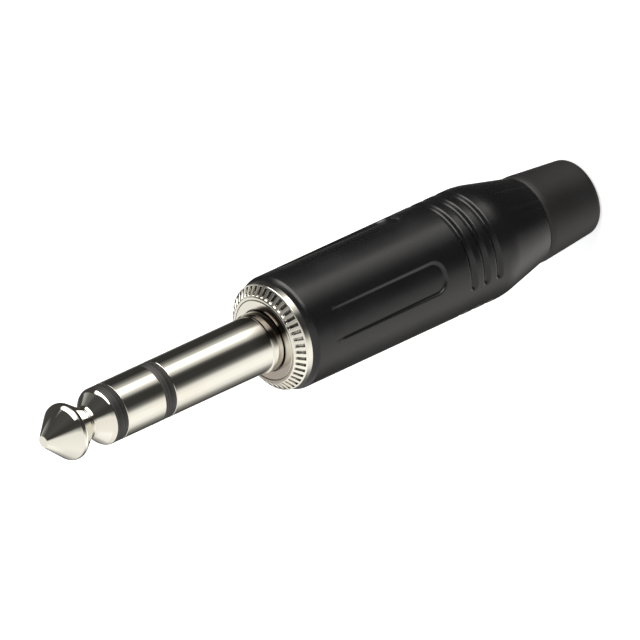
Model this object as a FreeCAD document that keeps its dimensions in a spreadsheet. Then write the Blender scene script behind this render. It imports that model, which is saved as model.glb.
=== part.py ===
# Stereo jack plug, 6.35 mm, with a screw-on die-cast shell, a jaw clamp for the cable
# and a rubber boot.
#
# The plug stands on the end of its boot. The origin is the centre of the boot's end face
# and +Z runs along the plug's axis, towards the tip. Sizes are in millimetres.

import FreeCAD
import Part
import Sketcher
import math
import os
import re

# Driving sizes, each written once. They fill the sheet that the pieces are bound to.
SIZES = {
    # a cut this long goes right through the plug
    "through_cut": 15.0,
    # stem: tip, ring and sleeve contacts, as they go into a jack
    "shaft_radius": 3.175,
    "stem_length": 30.8,
    "tip_length": 7.7,
    "tip_flat_radius": 0.66,
    "crown_step": 0.215,
    "crown_height": 4.57,
    "crown_rounding": 0.83,
    "waist_radius": 1.69,
    "waist_height": 2.12,
    "waist_land": 0.39,
    "waist_rounding": 0.5,
    "shoulder_land": 0.2,
    "shoulder_rounding": 0.46,
    "band_length": 1.45,
    "band_relief": 0.015,
    "ring_length": 5.28,
    "collar_step": 0.155,
    "collar_length": 1.3,
    "collar_bevel": 0.12,
    # coaxial stack inside the stem
    "rod_radius": 0.9,
    "tube_wall": 0.43,
    "ring_stem_wall": 0.48,
    "stack_gap": 0.02,
    # flange and threaded neck
    "disc_margin": 0.28,
    "disc_thickness": 1.0,
    "disc_bevel": 0.08,
    "undercut_width": 0.14,
    "undercut_depth": 0.15,
    "spigot_wall": 0.58,
    "spigot_lip": 0.45,
    "lip_thickness": 0.3,
    "knurl_step": 0.01,
    "flange_rise": 1.7,
    "bevel_width": 1.19,
    "bevel_height": 0.98,
    "notch_margin": 0.15,
    "notch_rim": 0.15,
    "notch_depth": 0.42,
    "notch_width": 0.38,
    "notch_count": 45,
    "neck_radius": 4.5,
    "neck_length": 5.0,
    "neck_bevel": 0.35,
    # terminals and their insulators
    "earth_thickness": 0.5,
    "earth_leg_width": 3.0,
    "earth_leg_length": 11.65,
    "thin_terminal": 0.4,
    "bend_share": 0.9,
    "ring_washer_width": 1.0,
    "ring_leg_gap": 0.55,
    "ring_leg_width": 2.2,
    "ring_leg_length": 7.5,
    "tip_washer_width": 1.25,
    "tip_leg_gap": 1.25,
    "tip_leg_width": 2.0,
    "tip_leg_length": 7.0,
    "solder_hole_radius": 0.55,
    "solder_hole_rise": 1.5,
    "base_wall": 0.33,
    "base_thickness": 2.15,
    "tube_socket": 0.6,
    "lug_width": 2.0,
    "lug_height": 1.2,
    "spacer_radius": 2.9,
    "spacer_thickness": 1.6,
    "flare_width": 0.35,
    "rivet_radius": 1.45,
    "rivet_height": 0.6,
    "liner_wall": 0.38,
    "liner_end_gap": 0.6,
    # cable clamp
    "clamp_bore": 3.2,
    "ridge_height": 0.2,
    "ridge_pitch": 1.1,
    "ridge_count": 5,
    "jaw_length": 6.2,
    "jaw_slot_width": 0.8,
    "jaw_slot_length": 7.0,
    "clamp_head_length": 2.3,
    "clamp_gap": 0.05,
    "clamp_end_gap": 0.45,
    "key_width": 1.6,
    "key_length": 6.6,
    "key_wall": 0.7,
    "key_gap": 0.05,
    # shell
    "barrel_wall": 1.6,
    "shell_length": 34.7,
    "taper_step": 1.51,
    "taper_length": 6.4,
    "taper_rounding": 8.0,
    "nose_step": 0.4,
    "nose_length": 0.95,
    "nose_rounding": 2.0,
    "thread_gap": 0.46,
    "thread_depth": 5.2,
    "thread_bevel": 0.3,
    "cavity_gap": 0.17,
    "seat_step": 0.5,
    "throat_length": 1.65,
    "panel_count": 4,
    "panel_turn": 45.0,
    "panel_angle": 34.0,
    "panel_back": 23.7,
    "panel_length": 16.2,
    "panel_depth": 0.32,
    "panel_run_out": 1.7,
    "panel_front_depth": 0.14,
    "panel_corner": 1.5,
    "panel_corner_limit": 0.48,
    "grip_height": 16.58,
    "grip_pitch": 1.8,
    "grip_count": 3,
    "grip_radius": 0.38,
    "grip_depth": 0.3,
    "grip_angle": 141.0,
    # boot
    "boot_length": 7.95,
    "boot_step": 0.06,
    "boot_taper": 0.7,
    "boot_neck_wall": 0.65,
    "boot_lip_height": 0.75,
    "boot_end_rounding": 0.8,
    "boot_lip_rounding": 0.3,
    "cable_bore": 2.9,
    "boot_gap": 0.05,
    "boot_flange_height": 1.3,
    "boot_flange_bevel": 0.4,
}

# Places and radii that follow from the driving sizes, from the boot's end upwards.
FORMULAS = {
    "shell_back": "boot_length",
    "shell_front": "shell_back + shell_length",
    "flange_face": "shell_front + flange_rise",
    "tip_end": "flange_face + stem_length",
    "tip_back": "tip_end - tip_length",
    "ring_front": "tip_back - band_length",
    "ring_back": "ring_front - ring_length",
    "sleeve_front": "ring_back - band_length",
    "collar_front": "flange_face + collar_length",
    "disc_back": "flange_face - disc_thickness",
    "neck_back": "shell_front - neck_length",
    "earth_back": "neck_back - earth_thickness",
    "spigot_end": "earth_back - lip_thickness",
    "base_back": "earth_back - base_thickness",
    "base_recess": "spigot_end - stack_gap",
    "ring_tube_end": "base_recess - tube_socket",
    "ring_terminal_back": "base_back - thin_terminal",
    "flare_end": "ring_terminal_back - lip_thickness",
    "spacer_back": "ring_terminal_back - spacer_thickness",
    "tip_tube_end": "spacer_back + tube_socket",
    "tip_terminal_back": "spacer_back - thin_terminal",
    "rivet_end": "tip_terminal_back - rivet_height",
    "tip_tube_bore": "rod_radius + stack_gap",
    "tip_tube_radius": "tip_tube_bore + tube_wall",
    "ring_stem_bore": "tip_tube_radius + stack_gap",
    "ring_stem_radius": "ring_stem_bore + ring_stem_wall",
    "flare_radius": "ring_stem_radius + flare_width",
    "ring_tube_bore": "ring_stem_radius + stack_gap",
    "ring_tube_radius": "ring_tube_bore + tube_wall",
    "sleeve_bore": "ring_tube_radius + stack_gap",
    "band_radius": "shaft_radius - band_relief",
    "crown_radius": "shaft_radius + crown_step",
    "collar_radius": "shaft_radius + collar_step",
    "spigot_radius": "sleeve_bore + spigot_wall",
    "lip_radius": "spigot_radius + spigot_lip",
    "earth_washer_radius": "lip_radius + earth_thickness",
    "base_radius": "earth_washer_radius + base_wall",
    "ring_washer_radius": "ring_stem_radius + stack_gap + ring_washer_width",
    "ring_leg_radius": "base_radius - ring_leg_gap",
    "tip_washer_radius": "rod_radius + stack_gap + tip_washer_width",
    "tip_leg_radius": "base_radius - tip_leg_gap",
    "earth_leg_end": "neck_back - earth_leg_length",
    "ring_leg_end": "base_back - ring_leg_length",
    "tip_leg_end": "spacer_back - tip_leg_length",
    "liner_bore": "base_radius + stack_gap",
    "liner_radius": "liner_bore + liner_wall",
    "cavity_radius": "liner_radius + cavity_gap",
    "barrel_radius": "cavity_radius + barrel_wall",
    "rim_radius": "barrel_radius - nose_step",
    "knurl_radius": "rim_radius - knurl_step",
    "bevel_inner_radius": "knurl_radius - bevel_width",
    "notch_inner_radius": "bevel_inner_radius + notch_margin",
    "notch_outer_radius": "knurl_radius - notch_rim",
    "disc_radius": "bevel_inner_radius - disc_margin",
    "thread_bore": "neck_radius + thread_gap",
    "shell_back_radius": "barrel_radius - taper_step",
    "throat_radius": "cable_bore + boot_neck_wall + boot_gap",
    "seat_radius": "throat_radius + seat_step",
    "boot_lip_radius": "shell_back_radius + boot_step",
    "boot_end_radius": "boot_lip_radius - boot_taper",
    "throat_front": "shell_back + throat_length",
    "boot_flange_back": "throat_front + boot_gap",
    "boot_flange_front": "boot_flange_back + boot_flange_height",
    "clamp_back": "boot_flange_front + clamp_end_gap",
    "jaw_front": "clamp_back + jaw_length",
    "clamp_head_front": "jaw_front + clamp_head_length",
    "key_front": "clamp_head_front + key_length",
    "key_radius": "liner_radius",
    "liner_back": "clamp_head_front + liner_end_gap",
    "taper_front": "shell_back + taper_length",
    "panel_front": "panel_back + panel_length",
    "panel_width": "2 * (barrel_radius - panel_depth) * sin(panel_angle / 2 * 1 deg)",
    "panel_rounding": "min(panel_corner; panel_width * panel_corner_limit)",
}

# Angles about the plug's axis, from +X towards +Y, in degrees.
JAW_TURNS = {"first_slot": 45, "second_slot": 135}
GRIP_TURNS = {"front": -90, "back": 90}
EARTH_TURN = 0
RING_TURN = 120
TIP_TURN = 240

DOCUMENT = FreeCAD.newDocument("jack_plug")
SHEET = DOCUMENT.addObject("Spreadsheet::Sheet", "sizes")
Z_AXIS = FreeCAD.Vector(0, 0, 1)
# Two places this near count as one, in millimetres.
SAME_PLACE = 1e-4


def fill_sheet():
    """Write every driving size into the sheet, with its name as the cell's alias."""
    for row, (name, size) in enumerate(SIZES.items(), start=1):
        SHEET.set(f"A{row}", name)
        SHEET.set(f"B{row}", str(size))
        SHEET.setAlias(f"B{row}", name)
    DOCUMENT.recompute()


def expand(text):
    """Write a formula in words as an expression over the sheet's cells.

    Words that name no size, such as cos and deg, stay as they are.
    """

    def replace(match):
        name = match.group()
        if name in FORMULAS:
            return "(" + expand(FORMULAS[name]) + ")"
        if name in SIZES:
            return "sizes." + name
        return name

    return re.sub(r"[a-z][a-z_]+", replace, text)


def number(text):
    """Work a formula out to a plain number."""
    return float(SHEET.evalExpression(expand(text)))


def bind(item, target, text):
    """Tie one property or constraint of an item to a formula."""
    item.setExpression(target, expand(text))


def new_body(label):
    """Start a solid that holds its own sketches and features."""
    body = DOCUMENT.addObject("PartDesign::Body", label)
    body.Label = label
    return body


def origin_item(body, role):
    """Find an origin plane or axis of a body by its role."""
    return next(item for item in body.Origin.OriginFeatures if item.Role == role)


def new_sketch(body, plane, name, rise=None, turn=None):
    """Attach a sketch to one of the body's planes.

    rise lifts it along the plane's normal, and turn swings it about the plug's axis.
    """
    sketch = body.newObject("Sketcher::SketchObject", name)
    sketch.AttachmentSupport = [(origin_item(body, plane), "")]
    sketch.MapMode = "FlatFace"
    if rise is not None:
        bind(sketch, "AttachmentOffset.Base.z", rise)
    if turn is not None:
        sketch.AttachmentOffset = FreeCAD.Placement(
            FreeCAD.Vector(), FreeCAD.Rotation(FreeCAD.Vector(0, 1, 0), turn)
        )
    return sketch


def pin(sketch, item, across, up):
    """Hold an item's first point at a place given by two formulas from the sketch's origin."""
    for direction, axis, text in (("DistanceX", -2, across), ("DistanceY", -1, up)):
        if text == "0":
            sketch.addConstraint(Sketcher.Constraint("PointOnObject", item, 1, axis))
        else:
            distance = Sketcher.Constraint(direction, -1, 1, item, 1, number(text))
            bind(sketch, f"Constraints[{sketch.addConstraint(distance)}]", text)


def draw_outline(sketch, corners):
    """Join corners with straight lines and close them.

    A corner is (across, up), or (across, up, rounding) where an arc blends the lines.
    """
    places = [FreeCAD.Vector(number(corner[0]), number(corner[1]), 0) for corner in corners]
    count = len(corners)
    arrivals = list(places)
    departures = list(places)
    crests = {}
    for index, corner in enumerate(corners):
        if len(corner) == 2:
            continue
        back = (places[index - 1] - places[index]).normalize()
        onward = (places[(index + 1) % count] - places[index]).normalize()
        half_angle = back.getAngle(onward) / 2
        radius = number(corner[2])
        arrivals[index] = places[index] + back * (radius / math.tan(half_angle))
        departures[index] = places[index] + onward * (radius / math.tan(half_angle))
        inward = (back + onward).normalize()
        crests[index] = places[index] + inward * (radius / math.sin(half_angle) - radius)
    first = sketch.GeometryCount
    for index in range(count):
        line = Part.LineSegment(departures[index], arrivals[(index + 1) % count])
        sketch.addGeometry(line, False)
    for index, corner in enumerate(corners):
        before = first + (index - 1) % count
        after = first + index
        if index in crests:
            arc = Part.Arc(arrivals[index], crests[index], departures[index])
            blend_corner(sketch, before, after, arc, corner)
        else:
            sketch.addConstraint(Sketcher.Constraint("Coincident", before, 2, after, 1))
            pin(sketch, after, *corner)


def blend_corner(sketch, before, after, arc, corner):
    """Put an arc between two lines, tangent to both, with its corner kept as a point."""
    across, up, rounding = corner
    blend = sketch.addGeometry(arc, False)
    arrival = sketch.getPoint(before, 2)
    starts_here = sketch.getPoint(blend, 1).distanceToPoint(arrival) < SAME_PLACE
    start, end = (1, 2) if starts_here else (2, 1)
    sketch.addConstraint(Sketcher.Constraint("Tangent", before, 2, blend, start))
    sketch.addConstraint(Sketcher.Constraint("Tangent", blend, end, after, 1))
    radius = sketch.addConstraint(Sketcher.Constraint("Radius", blend, number(rounding)))
    bind(sketch, f"Constraints[{radius}]", rounding)
    place = FreeCAD.Vector(number(across), number(up), 0)
    point = sketch.addGeometry(Part.Point(place), True)
    sketch.addConstraint(Sketcher.Constraint("PointOnObject", point, 1, before))
    sketch.addConstraint(Sketcher.Constraint("PointOnObject", point, 1, after))
    pin(sketch, point, across, up)


def draw_circle(sketch, radius, up="0"):
    """Draw a circle on the sketch's upright axis."""
    centre = FreeCAD.Vector(0, number(up), 0)
    circle = sketch.addGeometry(Part.Circle(centre, Z_AXIS, number(radius)), False)
    sketch.addConstraint(Sketcher.Constraint("PointOnObject", circle, 3, -2))
    if up == "0":
        sketch.addConstraint(Sketcher.Constraint("PointOnObject", circle, 3, -1))
    else:
        index = sketch.addConstraint(
            Sketcher.Constraint("DistanceY", -1, 1, circle, 3, number(up))
        )
        bind(sketch, f"Constraints[{index}]", up)
    index = sketch.addConstraint(Sketcher.Constraint("Radius", circle, number(radius)))
    bind(sketch, f"Constraints[{index}]", radius)


def turn_solid(body, name, corners):
    """Revolve an outline of (radius, height) corners about the plug's axis."""
    sketch = new_sketch(body, "XZ_Plane", name + "_outline")
    draw_outline(sketch, corners)
    solid = body.newObject("PartDesign::Revolution", name)
    solid.Profile = sketch
    solid.ReferenceAxis = (sketch, ["V_Axis"])
    solid.Angle = 360
    solid.Refine = False
    sketch.Visibility = False
    DOCUMENT.recompute()
    return solid


def extrude(body, kind, sketch, name, length, reverse=False, symmetric=False):
    """Pad or pocket a sketch by a length given as a formula."""
    feature = body.newObject(kind, name)
    feature.Profile = sketch
    feature.Reversed = reverse
    if symmetric:
        feature.SideType = "Symmetric"
    bind(feature, "Length", length)
    sketch.Visibility = False
    DOCUMENT.recompute()
    return feature


def round_edges(body, name, names, radius):
    """Round named edges of a body's latest feature."""
    base = body.Tip
    fillet = body.newObject("PartDesign::Fillet", name)
    fillet.Base = (base, names)
    fillet.Refine = False
    bind(fillet, "Radius", radius)
    DOCUMENT.recompute()
    body.Tip = fillet
    return fillet


def repeat_round(body, name, features, count):
    """Repeat features evenly about the plug's axis."""
    pattern = body.newObject("PartDesign::PolarPattern", name)
    pattern.Originals = features
    pattern.Axis = (origin_item(body, "Z_Axis"), [""])
    pattern.Angle = 360
    bind(pattern, "Occurrences", count)
    pattern.Refine = False
    body.Tip = pattern
    DOCUMENT.recompute()
    return pattern


def make_ring(label, bore, radius, back, front):
    """A plain tube or washer between two heights."""
    body = new_body(label)
    turn_solid(body, label + "_turned", [
        (bore, back),
        (radius, back),
        (radius, front),
        (bore, front),
    ])
    return body


def make_tip_contact():
    """Tip contact: cone, crown, waist and shoulder, on the rod that runs to its terminal."""
    body = new_body("tip_contact")
    waist_front = "tip_back + waist_height"
    turn_solid(body, "tip_turned", [
        ("0", "rivet_end"),
        ("rivet_radius - rivet_height", "rivet_end"),
        ("rivet_radius", "tip_terminal_back"),
        ("rod_radius", "tip_terminal_back"),
        ("rod_radius", "tip_back"),
        ("shaft_radius", "tip_back"),
        ("shaft_radius", "tip_back + shoulder_land", "shoulder_rounding"),
        ("waist_radius", waist_front + " - waist_land", "waist_rounding"),
        ("waist_radius", waist_front, "waist_rounding"),
        ("crown_radius", "tip_back + crown_height", "crown_rounding"),
        ("tip_flat_radius", "tip_end"),
        ("0", "tip_end"),
    ])
    return body


def make_ring_contact():
    """Ring contact, with the tube that carries it back to its terminal and is flared there."""
    body = new_body("ring_contact")
    turn_solid(body, "ring_turned", [
        ("ring_stem_bore", "flare_end"),
        ("flare_radius", "flare_end"),
        ("flare_radius", "ring_terminal_back"),
        ("ring_stem_radius", "ring_terminal_back"),
        ("ring_stem_radius", "ring_back"),
        ("shaft_radius", "ring_back"),
        ("shaft_radius", "ring_front"),
        ("ring_stem_bore", "ring_front"),
    ])
    return body


def make_sleeve_contact():
    """Sleeve contact: barrel, collar, flange disc, and the spigot that is rolled over."""
    body = new_body("sleeve_contact")
    groove_radius = "collar_radius + undercut_width"
    turn_solid(body, "sleeve_turned", [
        ("sleeve_bore", "spigot_end"),
        ("lip_radius", "spigot_end"),
        ("lip_radius", "earth_back"),
        ("spigot_radius", "earth_back"),
        ("spigot_radius", "disc_back"),
        ("disc_radius", "disc_back"),
        ("disc_radius", "flange_face - disc_bevel"),
        ("disc_radius - disc_bevel", "flange_face"),
        (groove_radius, "flange_face"),
        (groove_radius, "flange_face - undercut_depth"),
        ("collar_radius", "flange_face - undercut_depth"),
        ("collar_radius", "collar_front"),
        ("shaft_radius", "collar_front + collar_bevel"),
        ("shaft_radius", "sleeve_front"),
        ("sleeve_bore", "sleeve_front"),
    ])
    return body


def make_knurled_body():
    """Threaded neck under a bevelled ring, with notches in the bevel that leave teeth all round.

    The neck is turned to the root of its thread, and the notches stop short of the ring's rim.
    """
    body = new_body("knurled_body")
    disc_seat = "disc_radius + stack_gap"
    neck_bore = "spigot_radius + stack_gap"
    bevel_foot = "flange_face - bevel_height"
    turn_solid(body, "neck_turned", [
        (neck_bore, "neck_back"),
        ("neck_radius - neck_bevel", "neck_back"),
        ("neck_radius", "neck_back + neck_bevel"),
        ("neck_radius", "shell_front"),
        ("knurl_radius", "shell_front"),
        ("knurl_radius", bevel_foot),
        ("bevel_inner_radius", "flange_face"),
        (disc_seat + " + disc_bevel", "flange_face"),
        (disc_seat, "flange_face - disc_bevel"),
        (disc_seat, "disc_back"),
        (neck_bore, "disc_back"),
    ])
    bevel_slope = "bevel_height / (knurl_radius - bevel_inner_radius)"
    clear_height = "flange_face + notch_depth"
    cone_apex = f"flange_face + bevel_inner_radius * {bevel_slope}"
    inner_floor = f"{cone_apex} - notch_inner_radius * {bevel_slope} - notch_depth"
    outer_floor = f"{cone_apex} - notch_outer_radius * {bevel_slope} - notch_depth"
    sketch = new_sketch(body, "XZ_Plane", "notch_section")
    draw_outline(sketch, [
        ("notch_inner_radius", inner_floor),
        ("notch_outer_radius", outer_floor),
        ("notch_outer_radius", clear_height),
        ("notch_inner_radius", clear_height),
    ])
    notch = extrude(body, "PartDesign::Pocket", sketch, "notch", "notch_width", symmetric=True)
    repeat_round(body, "notches", [notch], "notch_count")
    return body


def make_rear_insulator():
    """Moulded base behind the neck, with lugs that key the liner and a way for the earth leg."""
    body = new_body("rear_insulator")
    turn_solid(body, "base_turned", [
        ("ring_tube_bore", "base_back"),
        ("base_radius", "base_back"),
        ("base_radius", "earth_back"),
        ("lip_radius + stack_gap", "earth_back"),
        ("lip_radius + stack_gap", "base_recess"),
        ("sleeve_bore", "base_recess"),
        ("sleeve_bore", "ring_tube_end"),
        ("ring_tube_bore", "ring_tube_end"),
    ])
    sketch = new_sketch(body, "XY_Plane", "lug_outline", rise="earth_back - lug_height")
    half = "lug_width / 2"
    for side in ("", "-"):
        draw_outline(sketch, [
            (side + "(base_radius - liner_wall)", "-" + half),
            (side + "(liner_radius - stack_gap)", "-" + half),
            (side + "(liner_radius - stack_gap)", half),
            (side + "(base_radius - liner_wall)", half),
        ])
    extrude(body, "PartDesign::Pad", sketch, "lugs", "lug_height")
    way = new_sketch(body, "XY_Plane", "leg_way_outline", rise="base_back")
    half_way = "earth_leg_width / 2 + key_gap"
    inner = "earth_washer_radius - earth_thickness - key_gap"
    draw_outline(way, [
        ("-" + f"({half_way})", inner),
        (half_way, inner),
        (half_way, "liner_radius"),
        ("-" + f"({half_way})", "liner_radius"),
    ])
    extrude(body, "PartDesign::Pocket", way, "leg_way", "base_thickness", reverse=True)
    return body


def make_terminal(label, turn, bore, washer_radius, leg_radius, width, thickness, front, leg_end):
    """A washer with one leg bent down beside the rod and drilled for the wire.

    front is the height of the washer's front face, and turn the leg's angle about the axis.
    """
    body = new_body(label)
    back = f"{front} - {thickness}"
    turn_solid(body, label + "_washer", [
        (bore, back),
        (washer_radius, back),
        (washer_radius, front),
        (bore, front),
    ])
    half = f"{width} / 2"
    tab = new_sketch(body, "XY_Plane", label + "_tab_outline", rise=back)
    tab_root = f"{bore} + {thickness}"
    draw_outline(tab, [
        (f"-{half}", tab_root),
        (half, tab_root),
        (half, leg_radius),
        (f"-{half}", leg_radius),
    ])
    extrude(body, "PartDesign::Pad", tab, label + "_tab", thickness)
    leg = new_sketch(body, "XZ_Plane", label + "_leg_outline", rise=f"-({leg_radius})")
    draw_outline(leg, [
        (f"-{half} + {thickness}", leg_end),
        (f"{half} - {thickness}", leg_end),
        (half, f"{leg_end} + {thickness}"),
        (half, front),
        (f"-{half}", front),
        (f"-{half}", f"{leg_end} + {thickness}"),
    ])
    draw_circle(leg, "solder_hole_radius", f"{leg_end} + solder_hole_rise")
    extrude(body, "PartDesign::Pad", leg, label + "_leg", thickness)
    bend = [
        f"Edge{index}"
        for index, edge in enumerate(body.Tip.Shape.Edges, start=1)
        if abs(edge.CenterOfMass.y - number(leg_radius)) < SAME_PLACE
        and abs(edge.CenterOfMass.z - number(front)) < SAME_PLACE
    ]
    round_edges(body, label + "_bend", bend, f"{thickness} * bend_share")
    body.Placement = FreeCAD.Placement(FreeCAD.Vector(), FreeCAD.Rotation(Z_AXIS, turn))
    return body


def make_terminal_spacer():
    """Insulating washer between the ring and tip terminals, cupped over the flared tube."""
    body = new_body("terminal_spacer")
    cup_radius = "flare_radius + stack_gap"
    cup_floor = "flare_end - stack_gap"
    turn_solid(body, "spacer_turned", [
        ("tip_tube_bore", "spacer_back"),
        ("spacer_radius", "spacer_back"),
        ("spacer_radius", "ring_terminal_back"),
        (cup_radius, "ring_terminal_back"),
        (cup_radius, cup_floor),
        ("ring_stem_bore", cup_floor),
        ("ring_stem_bore", "tip_tube_end"),
        ("tip_tube_bore", "tip_tube_end"),
    ])
    return body


def make_liner():
    """Insulating tube round the terminals, notched for the base's lugs and the clamp's keys."""
    body = new_body("insulating_liner")
    turn_solid(body, "liner_turned", [
        ("liner_bore", "liner_back"),
        ("liner_radius", "liner_back"),
        ("liner_radius", "neck_back"),
        ("liner_bore", "neck_back"),
    ])
    lugs = new_sketch(body, "YZ_Plane", "lug_notch_outline")
    half_lug = "(lug_width / 2 + stack_gap)"
    draw_outline(lugs, [
        ("-" + half_lug, "earth_back - lug_height - stack_gap"),
        (half_lug, "earth_back - lug_height - stack_gap"),
        (half_lug, "neck_back + liner_wall"),
        ("-" + half_lug, "neck_back + liner_wall"),
    ])
    extrude(body, "PartDesign::Pocket", lugs, "lug_notches", "through_cut", symmetric=True)
    keys = new_sketch(body, "YZ_Plane", "key_slot_outline")
    half_key = "(key_width / 2 + key_gap)"
    draw_outline(keys, [
        ("-" + half_key, "liner_back - liner_wall"),
        (half_key, "liner_back - liner_wall"),
        (half_key, "key_front + liner_end_gap"),
        ("-" + half_key, "key_front + liner_end_gap"),
    ])
    extrude(body, "PartDesign::Pocket", keys, "key_slots", "through_cut", symmetric=True)
    return body


def make_cable_clamp():
    """Tapered clamp: four jaws with ridges that bite the cable, and two keys for the liner."""
    body = new_body("cable_clamp")
    ridges = []
    for index in range(SIZES["ridge_count"], 0, -1):
        crest = f"clamp_back + ridge_pitch * {index}"
        ridges += [
            ("clamp_bore", f"{crest} + ridge_height"),
            ("clamp_bore - ridge_height", crest),
            ("clamp_bore", f"{crest} - ridge_height"),
        ]
    turn_solid(body, "clamp_turned", [
        ("clamp_bore", "clamp_back"),
        ("seat_radius - clamp_gap", "clamp_back"),
        ("cavity_radius - clamp_gap", "jaw_front"),
        ("cavity_radius - clamp_gap", "clamp_head_front"),
        ("clamp_bore", "clamp_head_front"),
    ] + ridges)
    half_slot = "(jaw_slot_width / 2)"
    for name, turn in JAW_TURNS.items():
        slot = new_sketch(body, "XZ_Plane", name + "_outline", turn=turn)
        draw_outline(slot, [
            ("-" + half_slot, "clamp_back - jaw_slot_width"),
            (half_slot, "clamp_back - jaw_slot_width"),
            (half_slot, "clamp_back + jaw_slot_length"),
            ("-" + half_slot, "clamp_back + jaw_slot_length"),
        ])
        extrude(body, "PartDesign::Pocket", slot, name, "through_cut", symmetric=True)
    keys = new_sketch(body, "XY_Plane", "key_outline", rise="clamp_head_front")
    half_key = "(key_width / 2)"
    for side in ("", "-"):
        draw_outline(keys, [
            (side + "(key_radius - key_wall)", "-" + half_key),
            (side + "key_radius", "-" + half_key),
            (side + "key_radius", half_key),
            (side + "(key_radius - key_wall)", half_key),
        ])
    extrude(body, "PartDesign::Pad", keys, "keys", "key_length")
    return body


def make_shell_blank():
    """Cast shell before its grips are cut: barrel, taper, stepped inside and four panels.

    The barrel has a seam at each grip's height, so each land between grips is a face of its own.
    """
    body = new_body("shell_blank")
    grip_seams = [
        ("barrel_radius", f"grip_height + grip_pitch * {index}")
        for index in range(SIZES["grip_count"])
    ]
    turn_solid(body, "shell_turned", [
        ("throat_radius", "shell_back"),
        ("shell_back_radius", "shell_back"),
        ("barrel_radius", "taper_front", "taper_rounding"),
    ] + grip_seams + [
        ("barrel_radius", "shell_front - nose_length", "nose_rounding"),
        ("rim_radius", "shell_front"),
        ("thread_bore + thread_bevel", "shell_front"),
        ("thread_bore", "shell_front - thread_bevel"),
        ("thread_bore", "shell_front - thread_depth"),
        ("cavity_radius", "shell_front - thread_depth"),
        ("cavity_radius", "jaw_front"),
        ("seat_radius", "clamp_back"),
        ("seat_radius", "throat_front"),
        ("throat_radius", "throat_front"),
    ])
    sketch = new_sketch(body, "XZ_Plane", "panel_section", turn=SIZES["panel_turn"])
    clear_radius = "barrel_radius + panel_depth"
    draw_outline(sketch, [
        ("barrel_radius - panel_depth", "panel_back"),
        (clear_radius, "panel_back"),
        (clear_radius, "panel_front + panel_run_out * panel_depth / panel_front_depth"),
        ("barrel_radius - panel_front_depth", "panel_front - panel_run_out"),
    ])
    panel = body.newObject("PartDesign::Groove", "panel")
    panel.Profile = sketch
    panel.ReferenceAxis = (sketch, ["V_Axis"])
    panel.Midplane = True
    panel.Refine = False
    bind(panel, "Angle", "panel_angle")
    sketch.Visibility = False
    DOCUMENT.recompute()
    repeat_round(body, "panels", [panel], "panel_count")
    corners = []
    for index, edge in enumerate(body.Tip.Shape.Edges, start=1):
        ends = [vertex.Point for vertex in edge.Vertexes]
        level = all(abs(point.z - number("panel_back")) < SAME_PLACE for point in ends)
        if level and isinstance(edge.Curve, Part.Line):
            corners.append(f"Edge{index}")
    round_edges(body, "panel_corners", corners, "panel_rounding")
    return body


def grip_cutters():
    """Round-nosed cuts, with ball ends, that make two sets of grip grooves, front and back."""
    path_radius = "(barrel_radius + grip_radius - grip_depth)"
    cutters = []
    for side, middle in GRIP_TURNS.items():
        for index in range(SIZES["grip_count"]):
            height = f"grip_height + grip_pitch * {index}"
            name = f"{side}_grip_{index + 1}"
            start = f"{middle} - grip_angle / 2"
            sweep = DOCUMENT.addObject("Part::Torus", name + "_sweep")
            bind(sweep, "Radius1", path_radius)
            bind(sweep, "Radius2", "grip_radius")
            bind(sweep, "Angle3", "grip_angle")
            bind(sweep, "Placement.Base.z", height)
            bind(sweep, "Placement.Rotation.Angle", start)
            pieces = [sweep]
            for end, turn in (("start", start), ("finish", f"{middle} + grip_angle / 2")):
                ball = DOCUMENT.addObject("Part::Sphere", f"{name}_{end}_ball")
                bind(ball, "Radius", "grip_radius")
                bind(ball, "Placement.Base.x", f"{path_radius} * cos(({turn}) * 1 deg)")
                bind(ball, "Placement.Base.y", f"{path_radius} * sin(({turn}) * 1 deg)")
                bind(ball, "Placement.Base.z", height)
                pieces.append(ball)
            cutter = DOCUMENT.addObject("Part::MultiFuse", name)
            cutter.Shapes = pieces
            cutters.append(cutter)
    return cutters


def make_shell():
    """The finished shell: the blank with its grips cut."""
    blank = make_shell_blank()
    tools = DOCUMENT.addObject("Part::Compound", "grip_tools")
    tools.Links = grip_cutters()
    shell = DOCUMENT.addObject("Part::Cut", "shell")
    shell.Base = blank
    shell.Tool = tools
    shell.Refine = False
    DOCUMENT.recompute()
    return shell


def make_boot():
    """Rubber boot: tapered outside with a lip, and a flange that snaps inside the throat."""
    body = new_body("boot")
    flange_radius = "seat_radius - boot_gap"
    turn_solid(body, "boot_moulded", [
        ("cable_bore", "0"),
        ("boot_end_radius", "0", "boot_end_rounding"),
        ("boot_lip_radius", "shell_back - boot_lip_height", "boot_lip_rounding"),
        ("boot_lip_radius", "shell_back", "boot_lip_rounding"),
        ("throat_radius - boot_gap", "shell_back"),
        ("throat_radius - boot_gap", "boot_flange_back"),
        (flange_radius, "boot_flange_back"),
        (flange_radius, "boot_flange_front - boot_flange_bevel"),
        (flange_radius + " - boot_flange_bevel", "boot_flange_front"),
        ("cable_bore", "boot_flange_front"),
    ])
    return body


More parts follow.
